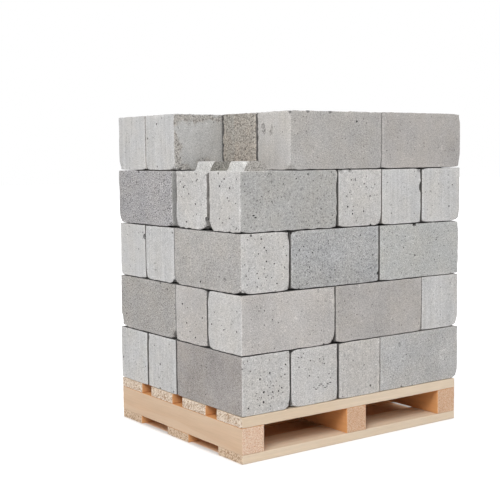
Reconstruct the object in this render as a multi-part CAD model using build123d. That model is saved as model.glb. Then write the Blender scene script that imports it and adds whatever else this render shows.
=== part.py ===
"""A pallet of miniature concrete blocks, in millimetres.

Interlocking blocks stand dry in five courses on a small two-way pallet of pine. A block is two cells long
and one cell wide, with a square stud over the middle of each cell and a square socket under it, so that
blocks of one course lock onto any two of the course below. The top course is flat and has one empty place.

The frame is +Z up, +X along the pallet's boards and +Y towards the back, along its stringers. The origin is
the middle of the bounding box, on the floor.
"""

import os
from math import atan, cos, degrees, radians, sin

from build123d import *

# Blocks
block_width = 17.3
block_height = 17.4
joint = 0.3  # mean gap between neighbours in a course
foot_chamfer = 0.6
top_bevel = 0.3
upright_bevel = 0.35

# Studs on a block, and the sockets that take them
stud_base = 8.9
stud_top = 6.4
stud_height = 2.8
stud_play = 0.06  # left on each side when two courses sit as far apart as they can
socket_headroom = 0.5

# How far the dry stack is out of true
slip_share = 0.4  # of a joint, so under half keeps neighbours apart
course_drift = (-0.25, -0.15, -0.05, 0.0, 0.15)  # to the right, from the lowest course up

# Pallet
pallet_length = 86.2
deck_board_width = 13.1
deck_board_thickness = 3.1
deck_board_gap = 5.8
stringer_width = 7.8
stringer_height = 7.8
bottom_board_width = 12.4
bottom_board_thickness = 2.6
board_edge = 0.15

# Where the stack stands on the deck
setback_left = 0.25
setback_front = 0.15

# Each course seen from above, with the back row first. Two cells with the same letter are one block, and a
# dot is an empty cell.
courses = (
    ("GGHJJ", "FFHII", "ABCEE", "ABCDD"),
    ("FHHJJ", "FGGII", "BBDDE", "AACCE"),
    ("GGHJJ", "FFHII", "ADDEE", "ABBCC"),
    ("FHHJJ", "FGGII", "BBCDE", "AACDE"),
    ("GGHJJ", "FFHII", ".DDEE", ".BBCC"),
)
deck_board_count = 4
golden_angle = 137.5  # turns the slip from block to block without a visible repeat

# Worked out from the sizes above
cell = block_width + joint
block_length = 2 * block_width + joint
slip_reach = slip_share * joint
drift_step = max(abs(b - a) for a, b in zip(course_drift, course_drift[1:]))
socket_clearance = 2 * slip_reach + drift_step + stud_play
socket_depth = stud_height + socket_headroom
deck_depth = deck_board_count * deck_board_width + (deck_board_count - 1) * deck_board_gap
stringer_base = bottom_board_thickness
deck_base = stringer_base + stringer_height
deck_top = deck_base + deck_board_thickness


def frustum(bottom, top, height):
    """A square frustum, standing on its wider or narrower end at Z = 0."""
    lean = degrees(atan((bottom - top) / 2 / height))
    return extrude(Rectangle(bottom, bottom), amount=height, taper=lean)


def cell_centres():
    """The middles of a block's two cells, with the block lying along X about the origin."""
    return Locations((-cell / 2, 0, 0), (cell / 2, 0, 0))


def block(studded):
    """One block along X, centred on the origin and standing on Z = 0, with studs or with a flat top."""
    body = Box(
        block_length,
        block_width,
        block_height,
        align=(Align.CENTER, Align.CENTER, Align.MIN),
    )
    body = chamfer(body.faces().sort_by(Axis.Z)[0].edges(), foot_chamfer)
    body = chamfer(body.faces().sort_by(Axis.Z)[-1].edges(), top_bevel)
    plan = Rectangle(block_length, block_width)
    plan = chamfer(plan.vertices(), upright_bevel)
    body = body & extrude(plan, amount=block_height)
    play = 2 * socket_clearance
    socket = frustum(stud_base + play, stud_top + play, socket_depth)
    body = body - cell_centres() * socket
    if studded:
        stud = Pos(0, 0, block_height) * frustum(stud_base, stud_top, stud_height)
        body = body + cell_centres() * stud
    return body


def cells_of(course, letter):
    """The columns and rows of a block's cells, counted from the front left."""
    found = []
    for row, line in enumerate(reversed(course)):
        for column, mark in enumerate(line):
            if mark == letter:
                found.append((column, row))
    return found


def slip(turn):
    """How far a block sits from its true place along X and Y."""
    angle = radians(golden_angle * turn)
    return slip_reach * cos(angle), slip_reach * sin(angle)


def stack():
    """Every block in its place, by node name."""
    studded_block, cap_block = block(True), block(False)
    placed = {}
    for level, course in enumerate(courses):
        pattern = cap_block if level == len(courses) - 1 else studded_block
        for letter in sorted(set("".join(course)) - {"."}):
            (column_a, row_a), (column_b, row_b) = cells_of(course, letter)
            slip_x, slip_y = slip(len(placed))
            x = setback_left + (column_a + column_b + 1) / 2 * cell + course_drift[level] + slip_x
            y = setback_front + (row_a + row_b + 1) / 2 * cell + slip_y
            z = deck_top + level * block_height
            quarter_turn = 0 if row_a == row_b else 90
            name = f"course_{level + 1}_block_{letter.lower()}"
            placed[name] = Pos(x, y, z) * Rot(0, 0, quarter_turn) * pattern
    return placed


def plank(length, width, thickness):
    """A sawn plank along X from the origin, with its long edges just eased."""
    section = Rectangle(width, thickness, align=Align.MIN)
    section = chamfer(section.vertices(), board_edge)
    return extrude(Plane.YZ * section, amount=length)


def pallet():
    """The pallet's boards and stringers, by node name, with its front left corner at the origin."""
    placed = {}
    for number in range(deck_board_count):
        y = number * (deck_board_width + deck_board_gap)
        board = plank(pallet_length, deck_board_width, deck_board_thickness)
        placed[f"deck_board_{number + 1}"] = Pos(0, y, deck_base) * board
    for side, share in (("left", 0), ("middle", 0.5), ("right", 1)):
        x = share * (pallet_length - stringer_width)
        stringer = Rot(0, 0, 90) * plank(deck_depth, stringer_width, stringer_height)
        placed[f"stringer_{side}"] = Pos(x + stringer_width, 0, stringer_base) * stringer
    for side, share in (("front", 0), ("middle", 0.5), ("back", 1)):
        y = share * (deck_depth - bottom_board_width)
        board = plank(pallet_length, bottom_board_width, bottom_board_thickness)
        placed[f"bottom_board_{side}"] = Pos(0, y, 0) * board
    return placed


def centred(pieces):
    """The pieces moved so that the origin is the middle of their bounding box, on the floor."""
    box = Compound(list(pieces.values())).bounding_box()
    middle = box.center()
    shift = Pos(-middle.X, -middle.Y, -box.min.Z)
    return {name: shift * piece for name, piece in pieces.items()}


pieces = centred({**pallet(), **stack()})
os.makedirs("parts", exist_ok=True)
for name, piece in pieces.items():
    export_step(piece, f"parts/{name}.step")
extent = Compound(list(pieces.values())).bounding_box()
print(f"{len(pieces)} pieces, from {extent.min} to {extent.max}")
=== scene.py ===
# %% [markdown]
# # A pallet of miniature concrete blocks
#
# The real thing stands in the palm of a hand. Forty-nine cast blocks, each about 35 mm long, are stacked dry
# in five courses on a small pine pallet, and one place at the front left of the top course is empty. The
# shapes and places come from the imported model, which is loaded first and never moved. This script gives every
# piece the surface that the real one has: worn edges, blow holes, chips and shades in the castings, and
# fibres, rings and sawn ends in the wood.

# %% Load the frame
import math
import random

import bpy
import numpy as np
from mathutils import Matrix, Vector


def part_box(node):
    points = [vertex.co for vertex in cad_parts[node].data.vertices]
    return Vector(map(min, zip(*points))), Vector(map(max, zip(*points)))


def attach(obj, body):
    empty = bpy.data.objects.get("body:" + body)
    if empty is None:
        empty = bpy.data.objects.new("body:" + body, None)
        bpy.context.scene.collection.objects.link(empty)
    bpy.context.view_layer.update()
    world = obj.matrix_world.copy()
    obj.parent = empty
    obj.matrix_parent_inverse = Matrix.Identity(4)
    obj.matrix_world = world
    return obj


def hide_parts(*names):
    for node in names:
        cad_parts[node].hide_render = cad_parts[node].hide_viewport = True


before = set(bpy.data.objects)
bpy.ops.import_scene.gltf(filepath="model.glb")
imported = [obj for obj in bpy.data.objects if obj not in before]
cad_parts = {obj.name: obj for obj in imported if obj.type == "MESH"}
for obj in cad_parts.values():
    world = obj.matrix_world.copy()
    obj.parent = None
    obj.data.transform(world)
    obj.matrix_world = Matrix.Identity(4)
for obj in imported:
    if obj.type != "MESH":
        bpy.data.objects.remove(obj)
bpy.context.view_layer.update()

mm = 0.001
block_names = sorted(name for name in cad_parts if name.startswith("course_"))
board_names = sorted(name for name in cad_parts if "board" in name)
stringer_names = sorted(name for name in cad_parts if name.startswith("stringer_"))
print(len(block_names), "blocks,", len(board_names), "boards and", len(stringer_names), "stringers")

# %% [markdown]
# ## Node trees written as arithmetic
#
# A material and a Geometry Nodes tree are both graphs of nodes. Clicking them together suits a small one, but
# a long formula is easier to read as a formula. A wire wraps one output socket, and adding or multiplying
# wires adds the Math nodes, for numbers and vectors alike. Every other node comes from one method, which
# takes its type, its sockets and its settings.

# %% Wires and trees
families = ("GeometryNode", "ShaderNode", "FunctionNode", "Node")  # what the full name of a node starts with


def operator(operation, turned=False):
    """A method of a wire that adds one Math node. A turned one has the wire on the right."""
    def method(self, *others):
        operands = (*others, self) if turned else (self, *others)
        wide = [getattr(value, "wide", hasattr(value, "__len__")) for value in operands]
        if operation == "MULTIPLY" and wide == [True, False]:
            return self.tree.node("VectorMath", {0: self, "Scale": others[0]}, operation="SCALE")
        kind = "VectorMath" if any(wide) else "Math"
        return self.tree.node(kind, dict(enumerate(operands)), operation=operation)

    return method


class Wire:
    """An output socket on which plain arithmetic works. It is wide if it carries a vector or a colour."""

    def __init__(self, tree, socket):
        self.tree = tree
        self.socket = socket
        self.wide = socket.type in ("VECTOR", "RGBA")

    __add__, __radd__ = operator("ADD"), operator("ADD", turned=True)
    __sub__, __rsub__ = operator("SUBTRACT"), operator("SUBTRACT", turned=True)
    __mul__, __rmul__ = operator("MULTIPLY"), operator("MULTIPLY", turned=True)
    __truediv__, __pow__ = operator("DIVIDE"), operator("POWER")
    __lt__, __gt__ = operator("LESS_THAN"), operator("GREATER_THAN")
    least, most, absolute = operator("MINIMUM"), operator("MAXIMUM"), operator("ABSOLUTE")
    fraction, direction, length = operator("FRACT"), operator("NORMALIZE"), operator("LENGTH")

    def ramp(self, low, high, start=0.0, end=1.0):
        """Runs smoothly from start to end while the wire goes from low to high."""
        values = {"Value": self, "From Min": low, "From Max": high, "To Min": start, "To Max": end}
        return self.tree.node("MapRange", values, interpolation_type="SMOOTHSTEP")

    def out(self, name):
        """Another output of the same node."""
        return Wire(self.tree, self.tree.pick(self.socket.node.outputs, name))

    def parts(self):
        """The three numbers of a vector."""
        split = self.tree.node("SeparateXYZ", {0: self})
        return split, split.out("Y"), split.out("Z")


class Tree:
    """A node tree that is filled by calls."""

    def __init__(self, tree):
        self.tree = tree

    def pick(self, sockets, key):
        """A socket by name, or by its number among those in use."""
        in_use = [socket for socket in sockets if socket.enabled]
        if isinstance(key, int):
            return in_use[key]
        return next(socket for socket in in_use if socket.name == key)

    def node(self, kind, sockets=None, out=0, **settings):
        """A new node with its settings and the values or links of its sockets. Returns one of its outputs."""
        family = next(family for family in families if hasattr(bpy.types, family + kind))
        node = self.tree.nodes.new(family + kind)
        for name, value in settings.items():
            setattr(node, name, value)
        for key, value in (sockets or {}).items():
            socket = self.pick(node.inputs, key)
            if isinstance(value, Wire):
                self.tree.links.new(value.socket, socket)
            else:
                socket.default_value = value
        return Wire(self, self.pick(node.outputs, out)) if len(node.outputs) else node

    def joined(self, x, y, z):
        return self.node("CombineXYZ", {"X": x, "Y": y, "Z": z})

    def noise(self, place, scale, detail=2.0, roughness=0.5, seed=0.0, out="Fac"):
        values = {
            "Vector": place, "W": seed, "Scale": scale, "Detail": detail, "Roughness": roughness,
        }
        return self.node("TexNoise", values, out, noise_dimensions="4D")

    def cells(self, place, scale):
        """How far each place is from the nearest of many scattered points."""
        return self.node("TexVoronoi", {"Vector": place, "Scale": scale}, "Distance")

    def mix(self, factor, first, second, blend="MIX"):
        """Two colours mixed."""
        values = {"Factor": factor, "A": first, "B": second}
        return self.node("Mix", values, "Result", data_type="RGBA", blend_type=blend)

    def tinted(self, colour, tint):
        """A colour multiplied by another one."""
        return self.mix(1.0, colour, (*tint, 1.0) if isinstance(tint, tuple) else tint, "MULTIPLY")

    def attribute(self, name, out="Fac"):
        return self.node("Attribute", {}, out, attribute_name=name)

    def surface(self, values):
        """Ends a material with one Principled surface."""
        surface = self.node("BsdfPrincipled", values)
        self.node("OutputMaterial", {"Surface": surface})

    def rough_surface(self, height, strength, values):
        """The same with a fine relief."""
        relief = {"Strength": strength, "Distance": 0.08 * mm, "Height": height}
        self.surface({**values, "Normal": self.node("Bump", relief)})


def empty_tree(owner):
    """The node tree of a material or a world, with nothing in it yet."""
    owner.use_nodes = True
    owner.node_tree.nodes.clear()
    return Tree(owner.node_tree)


def geometry_tree(name, inputs):
    """A Geometry Nodes tree with named inputs. Returns it with a wire for each input."""
    group = bpy.data.node_groups.new(name, "GeometryNodeTree")
    group.interface.new_socket(name="Geometry", in_out="INPUT", socket_type="NodeSocketGeometry")
    group.interface.new_socket(name="Geometry", in_out="OUTPUT", socket_type="NodeSocketGeometry")
    for label, kind in inputs.items():
        group.interface.new_socket(name=label, in_out="INPUT", socket_type="NodeSocket" + kind)
    tree = Tree(group)
    start = tree.node("GroupInput")
    return tree, {label: start.out(label) for label in ["Geometry", *inputs]}


def finish_tree(tree, geometry, material):
    """Ends a tree: instances become real, and the material is set."""
    real = tree.node("RealizeInstances", {"Geometry": geometry})
    dressed = tree.node("SetMaterial", {"Geometry": real, "Material": material})
    tree.node("GroupOutput", {"Geometry": dressed})


def through_tree(mesh, tree, values, name):
    """The mesh after it has gone through a tree, as an object whose place is in its mesh."""
    piece = bpy.data.objects.new(name, mesh)
    bpy.context.scene.collection.objects.link(piece)
    modifier = piece.modifiers.new("shape", "NODES")
    modifier.node_group = tree.tree
    for item in tree.tree.interface.items_tree:
        if item.in_out == "INPUT" and item.name in values:
            modifier[item.identifier] = values[item.name]
    evaluated = piece.evaluated_get(bpy.context.evaluated_depsgraph_get())
    made = bpy.data.meshes.new_from_object(evaluated)
    piece.modifiers.remove(modifier)
    piece.data = made
    made.name = name
    bpy.data.meshes.remove(mesh)
    return piece


# %% [markdown]
# ## One block before it is worn
#
# A casting starts as a box with fine lines near its edges, where it will be rounded, and lines where its
# studs and sockets begin and end. Raising the points inside those lines makes exact studs and sockets, and
# the mesh stays one closed skin. A subdivided cube would need far more points for the same edges.

# %% Sizes of a block
block_height = 17.4 * mm
cell = 17.6 * mm
stud_base = 8.9 * mm
stud_top = 6.4 * mm
stud_height = 2.8 * mm
socket_mouth = 9.8 * mm
socket_roof = 7.3 * mm
socket_depth = 3.3 * mm
edge_lines = [0.0, 0.12 * mm, 0.28 * mm, 0.5 * mm, 0.85 * mm, 1.4 * mm]


def lines_between(stops, pitch):
    """Places along a side: every stop, with enough between them that no step is over the pitch."""
    placed = [stops[0]]
    for here, there in zip(stops, stops[1:]):
        count = max(1, math.ceil((there - here) / pitch - 1e-6))
        placed += [here + (there - here) * (step + 1) / count for step in range(count)]
    return np.array(placed)


def side_lines(half, pitch, extra=()):
    """Lines across a side that runs from -half to half, fine near both ends."""
    near = [-half + step for step in edge_lines]
    far = [half - step for step in reversed(edge_lines)]
    return lines_between(sorted([*near, *extra, *far]), pitch)


def shell(lines, middles=(0.0, 0.0)):
    """A closed box of triangles on three sets of lines: its points, triangles and the side each one is on.

    The diagonals lead away from the middle of a side, and at the top and bottom from both given middles."""
    counts = [len(line) for line in lines]
    i, j, k = np.meshgrid(*[np.arange(count) for count in counts], indexing="ij")
    outer = (i == 0) | (j == 0) | (k == 0)
    outer |= (i == counts[0] - 1) | (j == counts[1] - 1) | (k == counts[2] - 1)
    number = np.full(counts, -1)
    number[outer] = np.arange(outer.sum())
    points = np.stack([lines[0][i[outer]], lines[1][j[outer]], lines[2][k[outer]]], axis=1)
    triangles, sides = [], []
    for axis in range(3):
        across, up = [a for a in range(3) if a != axis]
        outward = []
        for other in (across, up):
            centre = (lines[other][:-1] + lines[other][1:]) / 2
            middle = middles[other] if axis == 2 else 0.0
            outward.append(np.sign(centre) * np.where(np.abs(centre) < middle, -1, 1))
        same = (outward[0][:, None] * outward[1][None, :] > 0).ravel()
        for end in (0, -1):
            sheet = np.take(number, end, axis)
            a, b = sheet[:-1, :-1].ravel(), sheet[1:, :-1].ravel()
            c, d = sheet[1:, 1:].ravel(), sheet[:-1, 1:].ravel()
            first = np.where(same[:, None], np.stack([a, b, c], 1), np.stack([a, b, d], 1))
            second = np.where(same[:, None], np.stack([a, c, d], 1), np.stack([b, c, d], 1))
            both = np.concatenate([first, second])
            if (end == 0) != (axis == 1):
                both = both[:, ::-1]
            triangles.append(both)
            sides += [2 * axis + (end == -1)] * len(both)
    return points, np.concatenate(triangles), np.array(sides)


side_names = ["left", "right", "front", "back", "bottom", "top", "stud", "stud front"]
TOP, STUD, STUD_FRONT = 5, 6, 7
test_points, test_triangles, _ = shell([side_lines(5 * mm, 2 * mm)] * 3)
print("a small test box has", len(test_points), "points and", len(test_triangles), "triangles")


# %% Studs and sockets as heights
def frustum_height(points, centres, base, top, height):
    """The height of square frustums over each point of a flat face."""
    raised = np.zeros(len(points))
    for x, y in centres:
        reach = np.maximum(np.abs(points[:, 0] - x), np.abs(points[:, 1] - y))
        share = (base / 2 - reach) / ((base - top) / 2)
        raised = np.maximum(raised, height * np.clip(share, 0, 1))
    return raised


# How far up a worn stud is, by how far in it is on its slope
steep_in, steep_up = [0, 0.35, 0.55, 0.8, 1], [0, 0.06, 0.35, 0.95, 1]
stud_corner_loss = 1.5 * mm


def worn_stud_height(points, centres):
    """The height of the studs in plain sight: steep at the left and back, with the front left corner gone."""
    slope = (stud_base - stud_top) / 2
    raised = np.zeros(len(points))
    for x, y in centres:
        across, up = points[:, 0] - x, points[:, 1] - y
        steep = (stud_base / 2 - np.maximum(up, -across)) / slope
        steep = np.interp(steep, steep_in, steep_up)
        plain = (stud_base / 2 - np.maximum(-up, across)) / slope
        corner = (stud_base + across + up) / (2 * slope + stud_corner_loss)
        share = np.clip(np.minimum(np.minimum(steep, plain), corner), 0, 1)
        raised = np.maximum(raised, stud_height * share * (1.4 - 0.4 * share))
    return raised


def casting(half, middle_of_cells, studded, pitch, fine_studs):
    """The box of one block about its middle, and how far each point is raised into a stud or a socket."""
    along = 0 if half[0] > half[1] else 1
    stops = [stud_base / 2, stud_top / 2, socket_mouth / 2, socket_roof / 2]
    if fine_studs:
        stops += list(np.arange(0.2 * mm, stud_base / 2 + 0.3 * mm, 0.28 * mm))
    around = sorted({sign * stop for stop in stops for sign in (-1, 1)})
    extras = [[middle_of_cells[axis] + stop for stop in around] for axis in (0, 1)]
    extras[along] = [middle_of_cells[along] + sign * cell / 2 + stop for sign in (-1, 1) for stop in around]
    lines = [side_lines(half[0], pitch, extras[0]), side_lines(half[1], pitch, extras[1])]
    lines.append(side_lines(half[2], pitch))
    middles = [0.0, 0.0]
    middles[along] = cell / 2
    points, triangles, sides = shell(lines, middles)
    centres = [list(middle_of_cells), list(middle_of_cells)]
    centres[0][along] -= cell / 2
    centres[1][along] += cell / 2
    raised = np.zeros(len(points))
    floor = np.isclose(points[:, 2], -half[2])
    raised[floor] = frustum_height(points[floor], centres, socket_mouth, socket_roof, socket_depth)
    if studded:
        roof = np.isclose(points[:, 2], half[2])
        raised[roof] = frustum_height(points[roof], centres, stud_base, stud_top, stud_height)
        if fine_studs:
            raised[roof] = worn_stud_height(points[roof], centres)
        middle = points[triangles].mean(axis=1)
        middle[:, :2] -= middle_of_cells
        middle[:, along] -= np.sign(middle[:, along]) * cell / 2
        on_stud = (raised[triangles].max(axis=1) > 0.02 * mm) & (sides == TOP)
        front = (middle[:, 1] < -stud_top / 2) & (np.abs(middle[:, 0]) < -middle[:, 1])
        front &= middle[:, 0] > 5.34 * mm + 2.2 * middle[:, 1]  # right of the lost corner
        sides = np.where(on_stud, np.where(front, STUD_FRONT, STUD), sides)
    return points, triangles, sides, raised


def new_mesh(points, triangles, attributes):
    """A mesh with its named attributes, on its points or its faces, whichever there are as many of."""
    mesh = bpy.data.meshes.new("skin")
    mesh.from_pydata(points.tolist(), [], triangles.tolist())
    kinds = {1: ("FLOAT", "value"), 3: ("FLOAT_VECTOR", "vector"), 4: ("FLOAT_COLOR", "color")}
    for name, values in attributes.items():
        kind, key = kinds[values.size // len(values)]
        layer = mesh.attributes.new(name, kind, "POINT" if len(values) == len(points) else "FACE")
        layer.data.foreach_set(key, values.astype(np.float32).ravel())
    return mesh


print("a socket's mouth is", round((socket_mouth - stud_base) / mm, 2), "mm wider than a stud")


# %% [markdown]
# ## Wear, blow holes and chips
#
# Concrete that has been knocked out of a mould has no sharp edge: each one is rounded by a different amount
# along its length, and its lower corners break off. Air bubbles leave small round holes where the mix met the
# mould. Both follow a rule, so Geometry Nodes make them. Each point is drawn towards a smaller box inside the
# block, which rounds the edges, and then small balls are cut out of the faces that can be seen. Marks that a
# block is known by come as loose points, each with the size of its ball. The cuts leave new faces without
# attributes, so these are read again from the uncut skin nearest to them.

# %% Rounding
def rounded(tree, half, radius, sink):
    """Where the points of a box about the origin go when its edges are rounded and its faces sink."""
    place = tree.node("InputPosition")
    inner = half - tree.joined(radius, radius, radius)
    core = place.most(inner * -1.0).least(inner)
    return core + (place - core).direction() * (radius - sink)


def random_steps(tree, place, scale, seed, detail=2.0, roughness=0.6):
    """A small random vector at each place, with every part between about -0.5 and 0.5."""
    return tree.noise(place, scale, detail, roughness, seed, "Color") - (0.5, 0.5, 0.5)


def stored(tree, geometry, name, value, domain="FACE", kind="FLOAT"):
    values = {"Geometry": geometry, "Name": name, "Value": value}
    return tree.node("StoreNamedAttribute", values, data_type=kind, domain=domain)


def named(tree, name, kind="FLOAT"):
    return tree.node("InputNamedAttribute", {"Name": name}, "Attribute", data_type=kind)


def cut(tree, geometry, knives):
    """The geometry with the knives taken out of it."""
    values = {"Mesh 1": geometry, "Mesh 2": knives}
    return tree.node("MeshBoolean", values, operation="DIFFERENCE", solver="MANIFOLD")


def balls(tree, geometry, share, seed, radius, smallest, spacing, density, detail, flat=0.9):
    """Small balls of random size on a surface, never nearer to each other than the spacing.

    The radius and the spacing are in millimetres, and the density is in balls to the square metre."""
    points = tree.node("DistributePointsOnFaces", {
        "Mesh": geometry, "Distance Min": spacing * mm, "Density Max": density, "Density Factor": share,
        "Seed": seed,
    }, distribute_method="POISSON")
    chance = tree.node("RandomValue", {"Seed": seed}, data_type="FLOAT")
    size = smallest + (1.0 - smallest) * chance ** 2.0
    ball = tree.node("MeshIcoSphere", {"Radius": radius * mm, "Subdivisions": detail})
    placed = tree.node("InstanceOnPoints", {
        "Points": points, "Instance": ball, "Rotation": points.out("Rotation"),
        "Scale": tree.joined(size, size, size * flat),
    })
    real = tree.node("RealizeInstances", {"Geometry": placed})
    # The walls that these balls leave, chips as well as holes, get full painted shade
    return stored(tree, real, "pit", 1.0)


def shaded(tree, geometry, angle):
    """Smooth shading, broken where two faces meet at more than the angle."""
    smooth = tree.node("SetShadeSmooth", {"Geometry": geometry}, domain="FACE")
    crease = tree.node("InputMeshEdgeAngle") > angle
    values = {"Geometry": smooth, "Selection": crease, "Shade Smooth": False}
    return tree.node("SetShadeSmooth", values, domain="EDGE")


# %% The wear of a cast block
def worn_radius(tree, given, place, to_upright, above_foot, below_top):
    """How far the edges are rounded near each point: more or less at the foot, the top and worn places."""
    seed, upright = given["Seed"], given["Upright wear"]
    radius = upright + above_foot.ramp(3 * mm, 0.5 * mm) * (given["Foot wear"] - upright)
    radius = radius + below_top.ramp(2 * mm, 0.3 * mm) * (given["Top wear"] - upright)
    bumps = tree.noise(place, 420.0, 2.0, 0.6, seed)
    radius = radius * (1.0 + given["Unevenness"] * bumps.ramp(0.3, 0.75, -0.9, 1.6))
    corner = (to_upright + above_foot * 0.7).ramp(3.2 * mm, 0.2 * mm)
    knocks = tree.noise(place, 90.0, 1.0, 0.5, seed + 31.0).ramp(0.35, 0.65, 0.2, 1.0)
    crumbled = tree.noise(place, 620.0, 2.0, 0.7, seed + 23.0).ramp(0.3, 0.7, 0.35, 1.65)
    return radius + given["Corner loss"] * corner * knocks + named(tree, "worn") * crumbled


def worn_skin(tree, given, skin):
    """The block's skin with its studs and sockets raised, its edges rounded and its faces roughened."""
    half, seed = given["Half size"], given["Seed"]
    place = tree.node("InputPosition")
    gap_x, gap_y, gap_z = (half - place.absolute()).parts()
    above_foot = place.parts()[2] + half.parts()[2]
    below_top = half.parts()[2] - place.parts()[2]
    edge = gap_x.least(gap_y).most(gap_x.most(gap_y).least(gap_z))  # how far the nearest edge is
    sink = given["Waviness"] * tree.noise(place, 130.0, 2.0, 0.5, seed + 7.0)
    radius = worn_radius(tree, given, place, gap_x + gap_y, above_foot, below_top)
    there = rounded(tree, half, radius, sink)
    rim = gap_x.least(gap_y).ramp(2.2 * mm, 1.2 * mm) * (above_foot < 0.01 * mm)
    uneven = tree.noise(place, 230.0, 2.0, 0.6, seed + 11.0).ramp(0.3, 0.7, 0.5, 1.2)
    lift = tree.joined(0.0, 0.0, named(tree, "raised") + rim * uneven * given["Rim gap"])
    lift = lift + random_steps(tree, place, 1400.0, seed + 13.0) * named(tree, "torn")
    skin = stored(tree, skin, "edge", edge, "POINT")
    patches = tree.noise(place, 170.0, 4.0, 0.65, seed + 9.0) + edge.ramp(6 * mm, 0.0, 0.0, 0.3)
    sand = (patches + named(tree, "sandy") * 0.8).ramp(1.08, 1.14) * (named(tree, "sandy") > 0.3)
    skin = stored(tree, skin, "sand", sand, "POINT")
    crumbs = random_steps(tree, place, 1100.0, seed + 17.0, 3.0, 0.7)
    lift = lift + crumbs * (sand * 0.9 * mm)
    ragged = tree.noise(place, 480.0, 3.0, 0.7, seed + 19.0).ramp(0.3, 0.75) * given["Top sag"]
    ragged = ragged * below_top.ramp(1.6 * mm, 0.1 * mm) * edge.ramp(2.5 * mm, 0.2 * mm, 0.25, 1.0)
    lift = lift + tree.joined(0.0, 0.0, 0.0 - ragged)
    worn = tree.node("SetPosition", {"Geometry": skin, "Position": there + lift})
    return stored(tree, worn, "pit", 0.0)


def told_dents(tree, marks, knife):
    """A ball for each mark that a block has by name. The walls it leaves get painted shade, the most in small
    ones.
    """
    stone = tree.node("MeshIcoSphere", {"Radius": 1.0, "Subdivisions": 3})
    placed = {"Points": marks, "Instance": stone, "Scale": knife}
    dents = tree.node("InstanceOnPoints", placed)
    dents = tree.node("RealizeInstances", {"Geometry": dents})
    size = named(tree, "mark", "FLOAT_VECTOR").length()
    return stored(tree, dents, "pit", size.ramp(0.9 * mm, 0.7 * mm, 0.45, 1.45))


# %% The tree of a cast block
casting_tree, given = geometry_tree("cast_block", {
    "Half size": "Vector", "Place": "Vector", "Foot wear": "Float", "Top wear": "Float",
    "Upright wear": "Float", "Unevenness": "Float", "Corner loss": "Float", "Waviness": "Float",
    "Rim gap": "Float", "Top sag": "Float", "Shift": "Vector", "Seed": "Int", "Material": "Material",
})
# Blow holes, from large to small: the radius, the share of it that the smallest has, how near two may be,
# how dense they are and how finely each one is made
blow_holes = [(0.42, 0.55, 1.1, 6.0e4, 2), (0.24, 0.6, 0.6, 3.0e5, 2), (0.14, 0.6, 0.38, 9.0e5, 1)]
read_again = {
    "finish": ("FACE", "FLOAT_COLOR"), "texture": ("FACE", "FLOAT_VECTOR"), "specks": ("FACE", "FLOAT"),
    "edge": ("POINT", "FLOAT"), "sand": ("POINT", "FLOAT"),
}


def fill_casting_tree(tree, given):
    seed = given["Seed"]
    knife = named(tree, "mark", "FLOAT_VECTOR")
    values = {"Geometry": given["Geometry"], "Selection": knife.length() > 0.0}
    marks = tree.node("SeparateGeometry", values, domain="POINT")
    worn = worn_skin(tree, given, marks.out("Inverted"))

    shows = named(tree, "shows")
    chips = balls(tree, worn, shows * (named(tree, "edge") < 0.35 * mm), seed, 1.0, 0.3, 2.6, 2.5e4, 2, 0.7)
    knives = tree.node("JoinGeometry", {"Geometry": chips})
    tree.tree.links.new(told_dents(tree, marks, knife).socket, knives.socket.node.inputs[0])
    size = named(tree, "mark", "FLOAT_VECTOR").length()
    crumble = ((size - 0.5 * mm).most(0.0) * 0.4 + (size < 0.01 * mm) * 0.5 * mm).least(0.4 * mm)
    steps = random_steps(tree, tree.node("InputPosition"), 1500.0, seed, 1.0, 0.5)
    knives = tree.node("SetPosition", {"Geometry": knives, "Offset": steps * crumble})
    block = cut(tree, worn, knives)

    clusters = tree.noise(tree.node("InputPosition"), 190.0, 2.0, 0.5, seed + 3.0)
    share = shows * named(tree, "pores") * clusters.ramp(0.42, 0.66, 0.12, 1.0)
    share = share * (named(tree, "edge") > 0.8 * mm)
    for number, sizes in enumerate(blow_holes, 1):
        block = cut(tree, block, balls(tree, block, share, seed + number, *sizes))
    for name, (domain, kind) in read_again.items():
        values = {"Mesh": worn, "Value": named(tree, name, kind)}
        nearest = tree.node("SampleNearestSurface", values, data_type=kind)
        block = stored(tree, block, name, nearest, domain, kind)
    block = stored(tree, block, "shift", given["Shift"], "FACE", "FLOAT_VECTOR")
    settled = tree.node("Transform", {"Geometry": block, "Translation": given["Place"]})
    finish_tree(tree, shaded(tree, settled, 0.6), given["Material"])


fill_casting_tree(casting_tree, given)
print("the block's tree has", len(casting_tree.tree.nodes), "nodes")

# %% [markdown]
# ## The finish of the concrete
#
# Every block comes out of the same mould, yet no two faces match: an end that lay against a fresh mould is
# pale and full of holes, a long side is smooth and grey, and a damp mix dries blue or brown. So the material
# reads a colour and the strength of its grain from each face, and only the pattern is its own: clouds, fine
# grit, faint streaks down the face, small dark and light specks, and painted shade on the walls of the holes.

# %% Shades of concrete
def linear(red, green, blue):
    """A screen colour from 0 to 255 as the light that it stands for."""
    return [((c / 255 + 0.055) / 1.055) ** 2.4 for c in (red, green, blue)] + [1.0]


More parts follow.
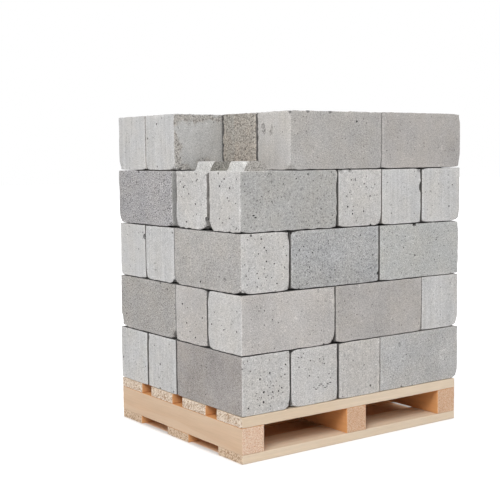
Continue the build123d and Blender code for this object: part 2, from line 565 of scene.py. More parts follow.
# Each finish: its screen colour, then the strength of its grit, streaks, clouds, specks, sandy patches and
# blow holes
finishes = {
    "pale": ((197, 196, 195), 0.8, 0.9, 0.4, 0.3, 0.0, 0.25),
    "holed": ((197, 196, 194), 1.1, 0.4, 0.4, 0.6, 0.0, 1.0),
    "marked": ((195, 193, 191), 1.0, 0.5, 0.6, 0.7, 0.0, 0.35),
    "light": ((191, 188, 185), 1.0, 0.7, 0.6, 0.4, 0.0, 0.15),
    "greyed": ((188, 184, 181), 1.1, 0.3, 0.8, 0.5, 0.0, 0.06),
    "smooth": ((176, 173, 170), 1.3, 0.2, 0.8, 0.35, 0.0, 0.03),
    "cool": ((180, 179, 178), 1.4, 0.1, 0.8, 0.6, 0.0, 0.06),
    "speckled": ((184, 184, 182), 1.3, 0.1, 0.5, 1.0, 0.0, 0.15),
    "pitted": ((171, 170, 168), 1.2, 0.2, 0.6, 1.3, 0.0, 0.3),
    "brown": ((175, 171, 168), 1.1, 0.3, 1.0, 0.35, 0.0, 0.03),
    "slate": ((173, 173, 173), 1.8, 0.1, 0.9, 1.1, 0.0, 0.3),
    "mauve": ((169, 167, 168), 2.3, 0.1, 1.0, 2.4, 0.0, 0.15),
    "drab": ((167, 164, 161), 1.8, 0.1, 1.2, 1.3, 0.0, 0.1),
    "dark": ((160, 155, 152), 1.0, 0.2, 1.6, 0.8, 0.0, 0.04),
    "patched": ((183, 182, 180), 0.9, 0.3, 1.4, 0.4, 0.5, 0.1),
    "sandy": ((186, 179, 171), 1.6, 0.1, 1.2, 1.4, 1.0, 0.5),
    # Painted shade: colours for sides seen only through a gap, darker for a deep gap than for a shallow one
    "recess": ((128, 125, 122), 1.0, 0.0, 0.6, 0.6, 0.0, 0.0),
    "shallow": ((164, 163, 161), 1.0, 0.0, 0.6, 0.6, 0.0, 0.0),
    # The front slopes of worn studs: rough, and darker, in part by painted shade
    "torn": ((134, 132, 127), 2.4, 0.0, 1.0, 1.0, 0.0, 0.0),
    "scraped": ((160, 157, 153), 2.0, 0.0, 1.0, 1.0, 0.0, 0.0),
    "rough": ((202, 201, 199), 1.4, 0.0, 0.6, 0.6, 0.0, 0.0),
    # Painted shade: the colour of sides that neighbours cover, so that the joints between blocks look dark
    "damp": ((104, 102, 100), 1.0, 0.0, 0.6, 0.6, 0.0, 0.0),
}


def concrete():
    material = bpy.data.materials.new("cast_concrete")
    tree = empty_tree(material)
    where = tree.node("TexCoord", out="Object")
    place = where + tree.attribute("shift", "Vector")
    # Each face's colour: its finish, or a painted shade on faces in joints
    colour = tree.attribute("finish", "Color")
    grit_share, streak_share, cloud_share = tree.attribute("texture", "Vector").parts()
    speck_share, sand, pit, edge = (tree.attribute(name) for name in ("specks", "sand", "pit", "edge"))

    # How light each place is
    clouds = tree.noise(place, 75.0, 3.0, 0.55) - 0.5
    mottle = tree.noise(place, 420.0, 3.0, 0.7) - 0.5
    grains = tree.noise(place, 2300.0, 2.0, 0.8) - 0.5
    grit = tree.noise(place, 4400.0, 1.0, 0.6, 2.0) - 0.5
    coarse = tree.noise(place, 1250.0, 2.0, 0.8, 6.0) - 0.5
    streaks = tree.noise(place * (1.0, 1.0, 0.04), 1100.0, 3.0, 0.6) - 0.5
    level = 1.0 + cloud_share * clouds * 0.5 + mottle * 0.22 + streak_share * streaks * 0.55
    # Faces are a little lighter near their edges: dust on the worn edges, and in part a painted highlight
    level = level + grit_share * (grains * 1.1 + grit * 1.3) + edge.ramp(1.6 * mm, 0.2 * mm) * 0.06
    level = level + speck_share * coarse * 0.25

    speck = tree.cells(place, 950.0)
    chance = speck.out("Color").parts()[0]
    dark_speck = speck.ramp(0.3, 0.14) * (chance < speck_share * 0.35)
    light_speck = speck.ramp(0.26, 0.12) * (chance > 1.0 - speck_share * 0.15)
    level = level * (1.0 - dark_speck * 0.42) + light_speck * 0.34
    freckle = tree.cells(place, 1150.0)
    second_chance = freckle.out("Color").parts()[2]
    freckled = freckle.ramp(0.5, 0.25) * (second_chance < (speck_share - 1.1) * 0.3)
    level = level * (1.0 - freckled * 0.26)
    line = tree.noise(place, 260.0, 2.0, 0.55, 21.0) - 0.5
    scuff = line.absolute().ramp(0.017, 0.004)
    scuff = scuff * tree.noise(place, 170.0, 1.0, 0.5, 23.0).ramp(0.58, 0.68) * cloud_share
    level = level + scuff * 0.26

    # Its colour, on plain and on sandy concrete
    pebbles = tree.cells(place, 2100.0)
    shine = pebbles.out("Color").parts()[1]
    shadowed = pebbles.ramp(0.8, 0.4, 0.55, 1.0) * (1.0 - dark_speck * 0.55)
    damp_tint, dry_tint = (0.975, 0.985, 0.98, 1.0), (1.045, 0.997, 0.95, 1.0)
    sandy = tree.mix(clouds.ramp(-0.14, 0.1), damp_tint, dry_tint)
    sandy = tree.tinted(colour, sandy)
    sandy = sandy * (shadowed * (0.8 + shine * 0.34) + grit * 1.2 + grains * 1.2)
    tint = tree.noise(place, 120.0, 2.0, 0.5, 4.0).ramp(0.3, 0.75)
    warm = tree.mix(tint, (0.995, 1.0, 1.01, 1.0), (1.015, 1.0, 0.975, 1.0))
    # The walls of holes, dents and chips get a painted shade
    shade = tree.mix(sand, tree.tinted(colour, warm) * level, sandy) * (1.0 - pit * 0.62)

    relief = grains * 0.8 + grit * 0.5 + mottle * 0.6 + streak_share * streaks * 0.5 - dark_speck * 0.6
    relief = relief - sand * pebbles * 1.5 + scuff * 0.3
    tree.rough_surface(relief, 0.7, {
        "Base Color": shade, "Roughness": 0.92 - mottle * 0.1, "Specular IOR Level": 0.25,
    })
    return material


concrete_material = concrete()
print("the concrete has", len(concrete_material.node_tree.nodes), "nodes")

# %% [markdown]
# ## Which face has which finish
#
# The faces that the photograph shows are told by name: 4c is block c of course 4. The others get a finish by
# a seeded draw: ends from the pale finishes and long sides from the greys, as on the faces that can be seen.
# The same short names tell which edges and corners are badly worn, how far a side stands out of true, and
# where the largest dents and blow holes are. All these lengths are in millimetres.

# %% Finishes, course by course
# Some of these sides lie in gaps between blocks, and their entries are painted shade
told_finishes = {
    "front": {
        "1a": "marked", "1b": "marked", "1c": "light", "1d": "cool", "2a": "greyed", "2c": "brown",
        "2e": "pale", "2f": "shallow", "3a": "marked", "3b": "slate", "3c": "speckled", "3f": "shallow",
        "4a": "pitted", "4b": "recess", "4c": "marked", "4d": "pale", "4e": "pale", "4f": "shallow",
        "5b": "smooth", "5c": "brown", "5f": "patched",
    },
    "left": {
        "1a": "dark", "1f": "pale", "1g": "pale", "2a": "marked", "2b": "greyed", "2f": "drab",
        "3a": "smooth", "3f": "pale", "3g": "pale", "4a": "marked", "4b": "marked", "4d": "recess",
        "4f": "mauve", "5b": "light", "5d": "sandy", "5f": "pale", "5g": "pale",
    },
}
coarse_finishes = {"mauve", "drab", "dark", "smooth"}  # whose grain is coarser on the left sides
left_grain = 1.4
sandy_blocks = {"5d", "5f"}


def overlap(a_low, a_high, b_low, b_high):
    """The length that two spans share."""
    return max(0.0, min(a_high, b_high) - max(a_low, b_low))


def covered(name, side):
    """The share of a block's side that its neighbours cover."""
    axis, end = divmod(side_names.index(side), 2)
    low, high = body_boxes[name]
    reach = high[axis] + mm if end else low[axis] - mm
    u, v = [a for a in range(3) if a != axis]
    area = 0.0
    for other, (other_low, other_high) in body_boxes.items():
        if other != name and other_low[axis] < reach < other_high[axis]:
            area += (overlap(low[u], high[u], other_low[u], other_high[u])
                     * overlap(low[v], high[v], other_low[v], other_high[v]))
    return area / ((high[u] - low[u]) * (high[v] - low[v]))


def short(name):
    """The short name of a block: 4c for course_4_block_c."""
    return name[7] + name[-1]


# Blocks that stand so close that their joints hardly show
snug_blocks = {"5b", "5c", "5f", "5g", "4f", "2e", "1d"}

body_boxes = {}
for name in block_names:
    low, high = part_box(name)
    body_boxes[name] = (low, Vector((high.x, high.y, low.z + block_height)))
showing = {
    name: [side for side in side_names[:6] if covered(name, side) < 0.8]
    for name in block_names
}
print(sum(1 for sides in showing.values() if sides), "blocks show a side")


def finish_of(name, side, draw):
    """The name of the finish on one side of a block, or of the painted shade that a covered side gets."""
    # Stud front slopes are rough and darker, in part by painted shade
    if side == "stud front":
        return "scraped" if name.endswith("a") else "torn"
    if side == "stud":
        return "rough"
    told = told_finishes.get(side, {}).get(short(name))
    chosen = draw.choice(["pale", "holed", "light", "holed"])
    low, high = body_boxes[name]
    axis = side_names.index(side) // 2
    if axis == 2 or high[1 - axis] - low[1 - axis] > 1.5 * cell:
        chosen = draw.choice(["smooth", "speckled", "brown", "slate", "dark", "speckled", "light"])
    if side == "top":
        chosen = draw.choice(["pale", "light", "light", "smooth"])
        if short(name) in ("4a", "4b"):
            chosen = "rough"
    # Sides that neighbours cover get a painted shade, except on blocks that stand snug
    if told is None and side not in showing[name]:
        return "smooth" if short(name) in snug_blocks else "damp"
    return told or chosen


# %% Wear and marks told by name
# Blocks whose upright edges, and blocks whose tops, are broken all the way
ragged_blocks = {"4a", "4b", "5d"}
ragged_tops = {"5b", "5d", "5f"}

# Edges and corners that are worn far more than the rest: where they are (-1, 0 or 1 on each axis, 0 for all
# of it), how much more is lost, and how far that reaches
worn_places = {
    "1a": [(1, -1, -1, 0.7, 2.5), (1, -1, 0, 0.2, 2.0)],
    "1b": [(-1, -1, -1, 0.8, 3.0), (-1, -1, 1, 0.8, 2.5), (-1, -1, 0, 0.2, 2.0), (1, -1, 0, 0.2, 2.0)],
    "1c": [(-1, -1, 1, 0.7, 2.5), (-1, -1, 0, 0.15, 2.0)],
    "1d": [(1, -1, -1, 0.7, 3.0)],
    "1f": [(-1, 1, 1, 0.8, 3.0)],
    "1g": [(-1, -1, 1, 0.6, 2.0)],
    "2a": [(-1, 1, 1, 0.9, 2.5), (1, -1, -1, 0.9, 2.5)],
    "2b": [(-1, -1, 1, 0.9, 2.5)],
    "2e": [(1, -1, -1, 0.8, 3.0)],
    "2f": [(-1, 1, -1, 1.6, 5.0), (-1, -1, 0, 0.4, 3.0), (-1, -1, -1, 0.9, 3.0)],
    "3a": [(-1, -1, -1, 1.2, 3.5), (1, -1, 1, 0.9, 2.5), (-1, 1, -1, 0.7, 2.5), (1, -1, 0, 0.2, 2.0)],
    "3b": [(-1, -1, 1, 1.0, 3.0), (-1, -1, 0, 0.2, 2.0)],
    "3c": [(1, -1, 1, 0.8, 3.0)],
    "3f": [(-1, -1, -1, 0.8, 2.5)],
    "4a": [(-1, 1, -1, 0.9, 2.5)],
    "4b": [(-1, -1, 0, 0.5, 3.0), (-1, -1, 1, 0.8, 2.5), (-1, -1, -1, 0.9, 2.5), (-1, 1, -1, 0.7, 2.0)],
    "4c": [(1, -1, -1, 0.4, 2.0)],
    "4d": [(1, -1, 1, 0.6, 2.0), (-1, -1, -1, 0.3, 2.0)],
    "4e": [(1, -1, -1, 0.7, 4.0), (-1, -1, 1, 0.7, 2.0)],
    "4f": [(-1, -1, 0, 0.3, 3.0), (-1, 1, -1, 1.0, 3.0)],
    "5b": [(-1, -1, -1, 0.8, 2.5), (-1, 1, 0, 0.5, 2.0)],
    "5c": [(1, -1, -1, 0.6, 5.0), (1, -1, 1, 1.2, 3.0)],
    "5d": [(-1, -1, 0, 0.5, 3.0)],
    "5f": [(-1, -1, -1, 0.9, 3.0)],
    "5g": [(-1, 1, -1, 1.0, 3.0)],
}

# Castings differ a little in size: how far a side stands out of its true place, or in where it is negative
side_shifts = {
    "1b": {"left": -0.3, "right": 0.85}, "1c": {"left": -0.85, "right": 0.3}, "1d": {"left": -0.3},
    "1f": {"front": -0.3}, "2a": {"right": -0.6}, "2c": {"left": 0.4, "right": 0.7}, "2e": {"left": -0.7},
    "2f": {"front": -0.6}, "3a": {"back": 0.45}, "3b": {"right": -0.55}, "3c": {"left": 0.1},
    "3f": {"back": 0.4, "front": -0.45}, "3g": {"front": -0.8}, "4a": {"back": -1.5, "right": 0.5},
    "4b": {"front": 0.2, "back": -0.5}, "4c": {"right": 0.7, "left": -0.6}, "4d": {"left": -0.6},
    "4f": {"front": -1.3}, "5b": {"right": 0.6, "back": -1.1}, "5c": {"left": -0.6},
    "5d": {"front": 0.55, "back": -0.35},
}

# Dents told from the photograph: the side, how far along it and how high, and its half width and half height
block_marks = {
    "5b": [
        ("left", 3.1, 12.7, 0.9, 1.2), ("left", 3.7, 11.4, 0.6, 1.0), ("left", 7.3, 12.2, 0.45, 1.3),
        ("left", 6.7, 10.9, 0.6, 0.8), ("front", 25.4, 14.3, 0.35, 0.3),
    ],
    "4a": [("front", 4.6, 4.9, 0.45, 0.2), ("front", 5.3, 4.3, 0.45, 0.2)],
    "4c": [("front", 1.0, 16.9, 0.8, 0.5), ("front", 4.6, 16.9, 0.7, 0.45)],
    "4d": [
        ("front", 16.7, 11.5, 0.9, 1.7), ("front", 17.0, 14.5, 0.6, 1.2), ("front", 15.8, 16.6, 0.9, 0.5),
    ],
    "3a": [("left", 27.1, 3.8, 0.9, 0.6)],
    "2b": [("left", 16.9, 17.0, 1.0, 0.6)],
    "2a": [("left", 0.5, 17.1, 0.9, 0.6)],
    "1b": [
        ("front", 8.6 + 0.5 * step, 5.1 - 0.7 * math.cos(1.8 * (0.5 * step - 0.9)), 0.3, 0.12)
        for step in range(14)
    ],
    "1d": [("front", 8.2, 14.0, 0.5, 0.8)],
}

# Blow holes told from the photograph: the side, then how far along it, how high and how wide each one is
block_holes = {
    ("4a", "left"): [
        (8.0, 15.2, 0.7), (6.8, 14.4, 0.6), (5.5, 13.1, 0.8), (10.6, 12.6, 0.8), (12.4, 12.7, 0.5),
        (10.3, 9.0, 0.6), (13.6, 8.4, 0.5), (7.0, 2.7, 0.6), (14.0, 1.5, 0.5), (10.4, 4.1, 0.6),
        (5.4, 3.8, 0.6),
    ],
    ("4a", "front"): [(7.5, 10.2, 0.5), (1.6, 13.8, 0.4), (1.7, 11.8, 0.4), (3.7, 1.5, 0.4)],
    ("4b", "left"): [
        (2.6, 14.1, 0.6), (4.3, 12.5, 0.8), (10.9, 7.6, 0.7), (5.7, 2.1, 0.8), (3.2, 9.6, 0.5),
        (11.4, 4.6, 0.5),
    ],
    ("4c", "front"): [
        (11.1, 12.0, 0.6), (6.7, 14.4, 0.6), (5.2, 14.2, 0.6), (4.5, 10.5, 0.5), (3.3, 9.4, 0.6),
        (3.7, 6.2, 0.8), (5.6, 4.0, 0.7), (10.1, 4.6, 0.7), (7.5, 6.6, 0.4), (14.4, 9.4, 0.4),
    ],
    ("4e", "front"): [
        (13.8, 11.8, 0.6), (4.0, 10.0, 0.5), (2.4, 12.3, 0.4), (1.6, 9.8, 0.4), (11.9, 15.0, 0.5),
    ],
    ("3a", "front"): [
        (8.2, 13.1, 0.7), (8.9, 12.2, 0.6), (6.1, 11.4, 0.6), (8.9, 9.1, 0.7), (11.7, 8.3, 0.6),
        (5.6, 5.9, 0.6), (1.8, 5.4, 0.5), (6.1, 4.5, 0.5), (8.7, 4.6, 0.6), (10.7, 4.3, 0.5),
        (12.6, 2.5, 0.6), (2.1, 2.9, 0.5), (5.6, 2.1, 0.6), (15.3, 7.1, 0.5), (14.8, 3.5, 0.4),
        (7.0, 14.3, 0.4), (2.7, 6.8, 0.4),
    ],
    ("3a", "left"): [(14.4, 2.1, 0.7)],
    ("3b", "front"): [
        (14.1, 13.7, 0.5), (4.8, 12.6, 0.6), (8.1, 10.6, 0.6), (2.0, 10.3, 0.5), (5.8, 9.7, 0.5),
        (6.9, 6.4, 0.6), (5.2, 5.0, 0.5), (7.0, 4.9, 0.5), (11.2, 5.3, 0.5), (26.9, 14.8, 0.6),
    ],
    ("3c", "front"): [(5.4, 14.6, 0.4), (7.3, 13.9, 0.5), (10.8, 13.4, 0.5), (10.1, 10.0, 0.5)],
    ("2a", "front"): [(6.1, 12.6, 0.5), (10.9, 9.6, 0.5), (5.4, 13.9, 0.35), (3.4, 10.3, 0.35)],
    ("2a", "left"): [(2.0, 7.5, 0.7), (8.2, 6.6, 0.6), (7.2, 7.8, 0.4), (5.8, 9.0, 0.4)],
    ("2b", "left"): [
        (3.7, 11.7, 0.8), (14.8, 8.7, 0.7), (6.1, 6.1, 0.7), (10.9, 2.3, 0.7), (6.6, 10.9, 0.5),
        (7.8, 3.6, 0.5),
    ],
    ("2f", "left"): [(3.7, 4.6, 0.7), (7.1, 8.1, 0.5)],
    ("1a", "front"): [
        (7.7, 6.3, 0.9), (7.6, 3.4, 0.9), (15.6, 13.4, 0.7), (15.4, 10.5, 0.7), (9.9, 11.6, 0.7),
        (14.2, 6.7, 0.7), (10.9, 5.9, 0.7), (13.0, 5.9, 0.7), (2.2, 2.4, 0.7), (14.0, 9.9, 0.5),
        (12.2, 8.9, 0.5), (13.4, 7.4, 0.4), (11.0, 7.8, 0.5), (9.8, 7.3, 0.4), (5.2, 6.2, 0.5),
        (9.3, 5.1, 0.5), (6.9, 4.8, 0.4), (10.4, 4.2, 0.5), (5.4, 4.5, 0.4), (6.2, 2.6, 0.5),
        (10.0, 1.9, 0.5), (14.6, 5.3, 0.5), (12.6, 4.5, 0.4),
    ],
    ("1b", "front"): [
        (12.6, 11.8, 0.6), (7.3, 13.3, 0.6), (6.9, 8.8, 0.6), (10.8, 13.4, 0.5), (10.2, 8.0, 0.5),
        (2.7, 14.8, 0.5), (4.0, 14.7, 0.5), (3.0, 11.9, 0.6),
    ],
}

hole_radius = {"left": 0.39, "front": 0.36}  # for each millimetre that a hole seems to be wide
waviness = 0.14 * mm
mean_sink = waviness / 2  # of a face, so that a mark's middle lies on it


def mark_on(half, side, along, height, width, rise, depth):
    """The middle of a dent on one side of a block, and its three half sizes, from sizes in millimetres."""
    along, height, width, rise, depth = (size * mm for size in (along, height, width, rise, depth))
    if side == "front":
        return (along - half[0], mean_sink - half[1], height - half[2]), (width, depth, rise)
    return (mean_sink - half[0], half[1] - along, height - half[2]), (depth, width, rise)


def marks_of(name, half):
    """The dents and blow holes that a block has by name."""
    found = []
    for side, along, height, width, rise in block_marks.get(short(name), []):
        depth = max(0.45 * min(width, rise), 0.1)
        found.append(mark_on(half, side, along, height, width, rise, depth))
    for (block, side), holes in block_holes.items():
        for along, height, width in holes if block == short(name) else []:
            radius = hole_radius[side] * width
            found.append(mark_on(half, side, along, height, radius, radius, radius * 1.2))
    return found


holes_told = sum(len(holes) for holes in block_holes.values())
print(holes_told, "blow holes and", sum(len(dents) for dents in block_marks.values()), "dents are told")

# %% [markdown]
# ## The blocks
#
# On the real stack no two castings are quite the same size or shade, and most of each one is out of sight.
# They could be modelled one by one, but a single function makes them all from the tables: it shifts the
# sides, draws the other finishes and a slight change of tone from a seed, lays out the mesh and hands it to
# the tree. A block that can't be seen gets a coarse mesh and no holes.

# %% Make the blocks
tone_spread = 0.02


def mesh_pitch(name):
    """How far apart the points on a block's faces may be."""
    if not showing[name]:
        return 6.0 * mm
    if short(name) in sandy_blocks:
        return 0.45 * mm
    return 0.8 * mm if short(name) == "5b" else 1.6 * mm


def worn_amount(name, points, half):
    """How much more than usual is lost near each point of a block."""
    worn = np.zeros(len(points))
    for *where, loss, reach in worn_places.get(short(name), []):
        gaps = [np.abs(points[:, axis] - end * half[axis]) for axis, end in enumerate(where) if end]
        away = np.linalg.norm(gaps, axis=0)
        worn += loss * mm * np.clip(1.5 - 1.5 * away / (reach * mm), 0, 1)
    return worn


def told_shades(name, middles, sides, half):
    """How much lighter or darker each triangle is than its finish: 5d in tone, and 5f by painted shade."""
    shades = np.ones((len(sides), 3))
    left, front = (sides == side_names.index(side) for side in ("left", "front"))
    if short(name) == "5d":
        shades[left & (middles[:, 1] > 0.3 * half[1])] *= (0.93, 0.96, 0.98)
        shades[left & (middles[:, 1] < 0.9 * mm - half[1])] *= 1.14
    # On 5f, the part of the front that 5d covers gets a painted shade, so that the joint between them looks
    # dark
    if short(name) == "5f":
        shades[front & (middles[:, 0] > 0.15 * mm)] *= 0.35
    return shades


def side_finishes(name, draw):
    """The colour, the three textures, the specks, the sand and the pores of each side of a block."""
    told = [finishes[finish_of(name, side, draw)] for side in side_names]
    tones = [draw.uniform(-tone_spread, tone_spread) for _ in side_names]
    colours = [[c * (1 + tone) for c in linear(*row[0])[:3]] for row, tone in zip(told, tones)]
    textures = np.array([row[1:4] for row in told])
    if finish_of(name, "left", random.Random(0)) in coarse_finishes:
        textures[side_names.index("left"), 0] *= left_grain
    return np.array(colours), textures, *np.array([row[4:] for row in told]).T


def cast_block(name, number):
    """One block, worn and holed, where its CAD node is."""
    low, high = (corner.copy() for corner in body_boxes[name])
    true_middle = (low + high) / 2
    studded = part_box(name)[1].z - high.z > 1 * mm
    for side, shift in side_shifts.get(short(name), {}).items():
        axis, end = divmod(side_names.index(side), 2)
        (high if end else low)[axis] += (shift if end else -shift) * mm
    half = (high - low) / 2
    off = true_middle - (low + high) / 2
    fine_studs = studded and "top" in showing[name]
    points, triangles, sides, raised = casting(half, off[:2], studded, mesh_pitch(name), fine_studs)
    draw = random.Random(number)
    colours, textures, specks, sands, pores = side_finishes(name, draw)
    shift = [draw.uniform(-1, 1) for _ in range(3)]

    rough = np.zeros(len(points))
    if fine_studs:
        rough[triangles[sides == STUD_FRONT]] = 0.45 * mm
        rough[triangles[sides == STUD]] = 0.2 * mm
    worn = worn_amount(name, points, half)
    shades = told_shades(name, points[triangles].mean(axis=1), sides, half)
    # Each triangle's colour: its finish, or a painted shade for sides in joints
    tinted = np.concatenate([colours[sides] * shades, np.ones((len(sides), 1))], axis=1)
    marks = marks_of(name, half)
    knives = np.zeros((len(points) + len(marks), 3))
    if marks:
        knives[len(points):] = [size for _, size in marks]
        points = np.concatenate([points, [place for place, _ in marks]])
        raised, rough, worn = (np.append(values, np.zeros(len(marks))) for values in (raised, rough, worn))
    sandy = np.zeros(len(points))
    sandy[triangles.ravel()] = np.repeat(sands[sides], 3)
    shows = np.array([side in showing[name] for side in side_names])
    mesh = new_mesh(points, triangles, {
        "mark": knives, "raised": raised, "torn": rough, "worn": worn, "finish": tinted,
        "texture": textures[sides], "specks": specks[sides], "sandy": sandy, "pores": pores[sides],
        "shows": shows[sides],
    })
    lowest, ragged = name.startswith("course_1"), short(name) in ragged_blocks
    piece = through_tree(mesh, casting_tree, {
        "Half size": half, "Place": (low + high) / 2, "Shift": shift, "Seed": number,
        "Top wear": 0.2 * mm, "Foot wear": (0.15 if lowest else 0.32) * mm,
        "Upright wear": (0.4 if ragged else 0.22) * mm, "Unevenness": 1.2 if ragged else 0.6,
        "Corner loss": (0.35 if lowest else 0.9) * mm, "Waviness": waviness, "Rim gap": 0.3 * mm,
        "Top sag": (0.45 if short(name) in ragged_tops else 0.12) * mm, "Material": concrete_material,
    }, "cast_" + name.replace("course_", "").replace("block_", ""))
    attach(piece, "root")
    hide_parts(name)
    return piece


def count_triangles(piece):
    piece.data.calc_loop_triangles()
    return len(piece.data.loop_triangles)


castings = [cast_block(name, number) for number, name in enumerate(block_names)]
counts = [count_triangles(piece) for piece in castings]
print(len(castings), "castings with", sum(counts), "triangles, at most", max(counts), "in one")

# %% [markdown]
# ## The pine
#
# The pallet is sawn from pale pine. Rings show as long lines on a board's faces and as arcs on its ends,
# because they are one solid pattern: rings round the heart of the tree, drawn out along the grain. A
# material that works in all three directions gives both at once, with nothing to unwrap. The ends are
# speckled with cut fibres.

# %% Pine
pale_fleck, painted_inner_shade = linear(240, 226, 206), linear(218, 153, 90)
ring_width = 2.3 * mm


def pine(name, fresh, cut_light, cut_dark, cut_scale, slant, turn):
    """Pine with its grain along X, or along another way if it is turned. Its sawn ends are speckled."""
    material = bpy.data.materials.new(name)
    tree = empty_tree(material)
    where = tree.node("TexCoord", out="Object")
    turned = tree.node("Mapping", {"Vector": where, "Rotation": turn})
    place = turned + tree.attribute("shift", "Vector")
    bend = random_steps(tree, place * (0.25, 1.0, 1.0), 60.0, 0.0, 2.0, 0.5) * (5 * mm)
    x, y, z = (place + bend).parts()
    heart = (y * y + z * z) ** 0.5
    rings = (heart / ring_width).fraction()
    late = rings.ramp(0.35, 0.9) - rings.ramp(0.92, 1.0)
    fibre = tree.noise(place * (0.03, 1.0, 1.0), 3000.0, 3.0, 0.65) - 0.5
    strands = tree.noise(place * (0.05, 1.0, 1.0), 700.0, 2.0, 0.6) - 0.5
    clouds = tree.noise(place, 60.0, 2.0, 0.5, 3.0) - 0.5
    end, inner, low = tree.attribute("cut", "Vector").parts()
    colour = tree.mix(late * 0.3, fresh, tree.tinted(fresh, (0.84, 0.72, 0.6)))
    colour = tree.mix(clouds.ramp(-0.2, 0.3) * 0.35, colour, tree.tinted(fresh, (0.98, 0.88, 0.8)))
    level = 1.0 + fibre * 0.25 + strands * 0.16

    # Sawn ends, which are darker low down, and inner sides, which get a painted warm shade
    torn = tree.node("VectorRotate", {"Vector": place, "Axis": (1.0, 0.0, 0.0), "Angle": 0.6})
    torn = torn * (1.0, slant, 1.0)
    cut_fibres = tree.noise(torn, cut_scale, 2.0, 0.8, 5.0)
    fleck = tree.noise(torn, cut_scale * 0.65, 1.0, 0.5, 6.0).ramp(0.56, 0.66)
    speckle = (cut_fibres.ramp(0.44, 0.6) + late * 0.12).least(1.0)
    sawn = tree.mix(speckle, cut_light, cut_dark)
    sawn = tree.mix(fleck * 0.45, sawn, pale_fleck)
    sawn = tree.mix(low, sawn, tree.tinted(sawn, (0.89, 0.81, 0.72)))
    colour = tree.mix(end * 0.95, colour, sawn)
    dirt = tree.cells(place, 110.0)
    level = level * (1.0 - dirt.ramp(0.05, 0.02) * (dirt.out("Color").parts()[0] < 0.4) * 0.6)
    # Inner sides: painted shade, warm like light bounced between the pieces of wood
    shade = tree.mix(inner * 0.85, colour, painted_inner_shade) * level

    tree.rough_surface(fibre * 0.8 - late * 0.3 - end * speckle * 0.8, 0.5, {
        "Base Color": shade, "Roughness": 0.72 - fibre * 0.2, "Specular IOR Level": 0.35,
    })
    return material


board_pine = pine(
    "sawn_pine_boards", fresh=linear(226, 208, 185), cut_light=linear(231, 216, 199),
    cut_dark=linear(170, 138, 110), cut_scale=2300.0, slant=0.5, turn=(0.0, 0.0, 0.0),
)
stringer_pine = pine(
    "sawn_pine_stringers", fresh=linear(214, 187, 160), cut_light=linear(235, 211, 190),
    cut_dark=linear(210, 162, 130), cut_scale=3300.0, slant=0.85, turn=(0.0, 0.0, -math.pi / 2),
)

print("the pine has", len(board_pine.node_tree.nodes), "nodes")

plank_tree, given = geometry_tree("sawn_plank", {
    "Half size": "Vector", "Place": "Vector", "Edge wear": "Float", "Saw marks": "Float",
    "Seed": "Int", "Material": "Material",
})


def fill_plank_tree(tree, given):
    half, seed = given["Half size"], given["Seed"]
    place = tree.node("InputPosition")
    fray = tree.noise(place, 700.0, 2.0, 0.6, seed).ramp(0.25, 0.8, 0.25, 1.6)
    sink = given["Saw marks"] * tree.noise(place, 900.0, 2.0, 0.6, seed + 5.0)
    there = rounded(tree, half, given["Edge wear"] * fray, sink)
    sawn = tree.node("SetPosition", {"Geometry": given["Geometry"], "Position": there})
    settled = tree.node("Transform", {"Geometry": sawn, "Translation": given["Place"]})
    finish_tree(tree, shaded(tree, settled, 0.9), given["Material"])


fill_plank_tree(plank_tree, given)

# Inner sides, which get a painted warm shade, and pieces whose sawn ends are darker
painted_shade_sides = {
    "stringer_left": ["right", "top"], "stringer_middle": ["left", "right", "top"],
    "stringer_right": ["left", "top"], "bottom_board_front": ["back"],
    "bottom_board_middle": ["front", "back", "top"], "bottom_board_back": ["front"],
    "deck_board_1": ["back", "bottom"], "deck_board_2": ["front", "back", "bottom"],
    "deck_board_3": ["front", "back", "bottom"], "deck_board_4": ["front", "bottom"],
}
dark_ended = {
    "bottom_board_front", "bottom_board_middle", "bottom_board_back", "stringer_middle", "stringer_right",
}


# %% Make the pallet
def plank_lines(half):
    """Lines across a side of a plank, with fewer of them near the edges where it is thin."""
    if half > 3 * mm:
        return side_lines(half, 1.3 * mm)
    near = [-half, -half + 0.15 * mm, -half + 0.4 * mm]
    return lines_between([*near, *(-stop for stop in reversed(near))], 0.8 * mm)


def sawn_piece(name, number, material):
    """One board or stringer, where its CAD node is."""
    low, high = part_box(name)
    half = (high - low) / 2
    points, triangles, sides = shell([plank_lines(reach) for reach in half])
    along = 0 if half.x > half.y else 1
    draw = random.Random(1000 + number)
    shift = [draw.uniform(-0.4, 0.4), draw.uniform(-0.03, 0.03), draw.uniform(-0.03, -0.008)]
    # The triangles that get the painted shade of the inner sides
    inner = np.isin(sides, [side_names.index(side) for side in painted_shade_sides[name]])
    low_cut = np.full(len(sides), name in dark_ended)
    mesh = new_mesh(points, triangles, {
        "cut": np.stack([sides // 2 == along, inner, low_cut], axis=1),
        "shift": np.tile(shift, (len(triangles), 1)),
    })
    piece = through_tree(mesh, plank_tree, {
        "Half size": half, "Place": (low + high) / 2, "Edge wear": 0.2 * mm, "Saw marks": 0.05 * mm,
        "Seed": number, "Material": material,
    }, "pine_" + name)
    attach(piece, "root")
    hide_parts(name)
    return piece


planks = [sawn_piece(name, number, board_pine) for number, name in enumerate(board_names)]
planks += [sawn_piece(name, number, stringer_pine) for number, name in enumerate(stringer_names, 50)]
print(len(planks), "pieces of pine with", sum(count_triangles(piece) for piece in planks), "triangles")

# %% [markdown]
# ## Floor, light and camera
#
# The photograph is taken close, from a little above the middle of the stack, on white with very soft light
# from the front. A white world and three large soft lamps give that. The floor shows as white while it still
# takes the object's shadow, and under the pallet a painted tint stands for light bounced off the wood above it.

# %% Floor
def seen_by_eye(tree):
    """1 for the rays that show the floor or the sky itself, and 0 for those that only bring light."""
    path = tree.node("LightPath", out="Is Camera Ray")
    return path.most(path.out("Is Glossy Ray")).most(path.out("Is Transmission Ray"))


painted_wood_bounce, plain_floor = (0.92, 0.6, 0.37, 1.0), (0.8, 0.8, 0.8, 1.0)
floor_reach = 3.0


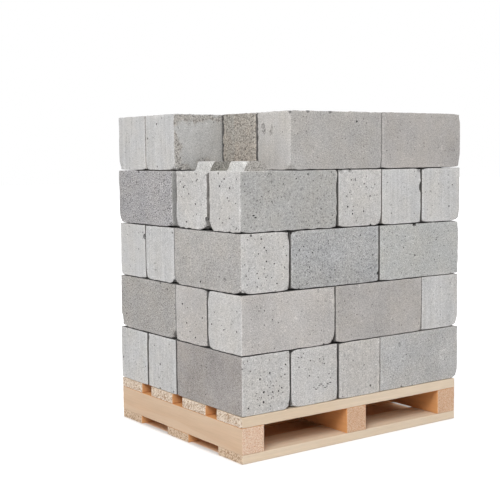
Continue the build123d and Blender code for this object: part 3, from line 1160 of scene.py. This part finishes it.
def stage_material():
    """White to the eye beyond the pallet, as far as the shadow at its foot lets it be."""
    material = bpy.data.materials.new("white_floor")
    tree = empty_tree(material)
    where = tree.node("TexCoord", out="Object")
    low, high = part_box("bottom_board_front")[0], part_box("bottom_board_back")[1]
    from_middle = (where - (low + high) / 2).absolute()
    out_x, out_y, _ = (from_middle - (high - low) / 2).parts()
    outside = out_x.most(out_y)
    away = seen_by_eye(tree) * (outside.ramp(-1 * mm, 2 * mm, 0.0, 0.45) + outside.ramp(0.03, 0.3, 0.0, 0.55))
    glow = tree.joined(away, away, away)
    # Under the pallet the floor's colour is a painted warm tint for light bounced off the wood
    floor_colour = tree.mix(outside.ramp(-2 * mm, -1 * mm), painted_wood_bounce, plain_floor)
    tree.surface({
        "Base Color": floor_colour, "Roughness": 0.9, "Emission Color": glow, "Emission Strength": 1.0,
    })
    return material


floor_mesh = bpy.data.meshes.new("floor")
corners = [(x * floor_reach, y * floor_reach, 0) for x, y in ((-1, -1), (1, -1), (1, 1), (-1, 1))]
floor_mesh.from_pydata(corners, [], [(0, 1, 2, 3)])
floor_mesh.materials.append(stage_material())
floor = bpy.data.objects.new("floor", floor_mesh)
bpy.context.scene.collection.objects.link(floor)
print("the floor reaches", floor_reach, "m each way")

# %% Light
stack_middle = Vector((0.0, 0.0, 0.05))
ambient = 0.35
world = bpy.data.worlds.new("soft_white")
bpy.context.scene.world = world
sky = empty_tree(world)
glow = sky.node("Background", {
    "Color": (1.0, 1.0, 1.0, 1.0), "Strength": ambient + seen_by_eye(sky) * (1.0 - ambient),
})
sky.node("OutputWorld", {"Surface": glow})


def softbox(name, place, target, size, power):
    """A large soft lamp at a place, facing a target."""
    lamp = bpy.data.lights.new(name, "AREA")
    lamp.shape = "RECTANGLE"
    lamp.size, lamp.size_y = size
    lamp.energy = power
    holder = bpy.data.objects.new(name, lamp)
    holder.location = place
    holder.rotation_mode = "QUATERNION"
    holder.rotation_quaternion = (target - Vector(place)).to_track_quat("-Z", "Y")
    bpy.context.scene.collection.objects.link(holder)


softbox("key_light", (-0.5, -0.4, 0.62), stack_middle, (0.45, 0.45), 5.5)
softbox("fill_light", (0.25, -0.75, 0.35), stack_middle, (0.6, 0.5), 0.5)
softbox("back_light", (0.5, 0.55, 0.5), stack_middle, (0.6, 0.6), 3.0)
print("world at", ambient, "with three softboxes")

# %% Camera
scene = bpy.context.scene
lens = bpy.data.cameras.new("camera")
lens.lens = 73.64
lens.sensor_width = 36.0
lens.clip_start, lens.clip_end = 0.01, 20.0
camera = bpy.data.objects.new("camera", lens)
scene.collection.objects.link(camera)
# From a pinhole camera fitted to the joints that the photograph shows
standpoint = Vector((-207.21, -267.28, 86.63)) * mm
yaw, pitch, roll = (math.radians(angle) for angle in (35.634, 5.092, 0.511))
ahead = Vector((math.sin(yaw) * math.cos(pitch), math.cos(yaw) * math.cos(pitch), -math.sin(pitch)))
right = Vector((math.cos(yaw), -math.sin(yaw), 0.0))
down = ahead.cross(right)
right, down = (right * math.cos(roll) + down * math.sin(roll),
               down * math.cos(roll) - right * math.sin(roll))
turn = Matrix((right, -down, -ahead)).transposed().to_4x4()
camera.matrix_world = Matrix.Translation(standpoint) @ turn
scene.camera = camera
scene.view_settings.view_transform = "Standard"
print("the camera is", round((camera.location - stack_middle).length / mm), "mm away")
